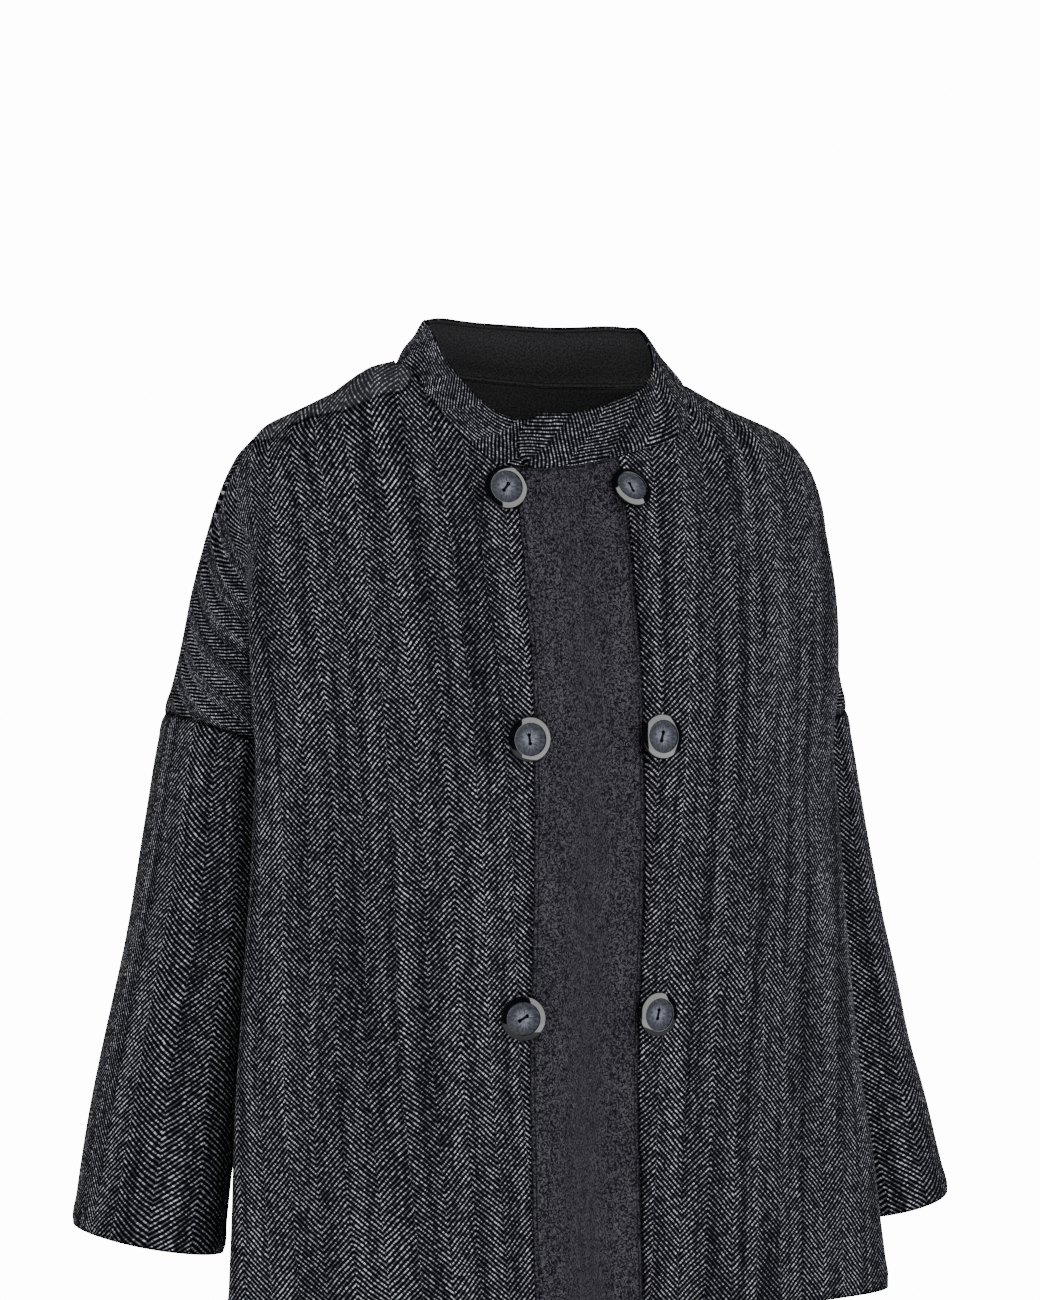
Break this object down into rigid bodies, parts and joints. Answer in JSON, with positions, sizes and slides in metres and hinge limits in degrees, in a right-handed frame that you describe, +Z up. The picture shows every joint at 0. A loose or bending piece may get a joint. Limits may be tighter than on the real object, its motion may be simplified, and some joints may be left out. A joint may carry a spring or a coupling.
{
  "type": "reversible wool jacket",
  "caption": "Boxy double-breasted jacket of double-faced wool with a stand collar, a plain contrast front band, large buttons and sleeves set on below dropped shoulders.",
  "frame": {"origin": "middle of the neck opening at the height of the shoulder seams' inner ends, where the wearer's neck and shoulders hold the jacket", "axes": "+Z up, the front faces -Y, the wearer's left is +X"},
  "size_m": [0.6973, 0.2962, 0.7378],
  "materials": {
    "back": "matt double-faced wool, light flecks on near-black, herringbone outside and plain inside",
    "front_right": "matt double-faced wool, light flecks on near-black, herringbone outside and plain inside",
    "front_left": "matt double-faced wool, light flecks on near-black, herringbone outside and plain inside",
    "front_band": "matt fine plain twill, dark violet-grey",
    "collar": "matt double-faced wool, light flecks on near-black, herringbone outside and plain inside",
    "sleeve_right": "matt double-faced wool, light flecks on near-black, herringbone outside and plain inside",
    "sleeve_left": "matt double-faced wool, light flecks on near-black, herringbone outside and plain inside",
    "button_right_1": "polished rim, brushed dished centre",
    "button_right_2": "polished rim, brushed dished centre",
    "button_right_3": "polished rim, brushed dished centre",
    "button_left_1": "polished rim, brushed dished centre",
    "button_left_2": "polished rim, brushed dished centre",
    "button_left_3": "polished rim, brushed dished centre"
  },
  "bodies": {
    "root": {"back": "back", "front_right": "front_right", "front_left": "front_left", "front_band": "front_band", "collar": "collar", "sleeve_right": "sleeve_right", "sleeve_left": "sleeve_left", "button_right_1": "button_right_1", "button_right_2": "button_right_2", "button_right_3": "button_right_3", "button_left_1": "button_left_1", "button_left_2": "button_left_2", "button_left_3": "button_left_3"}
  },
  "joints": []
}
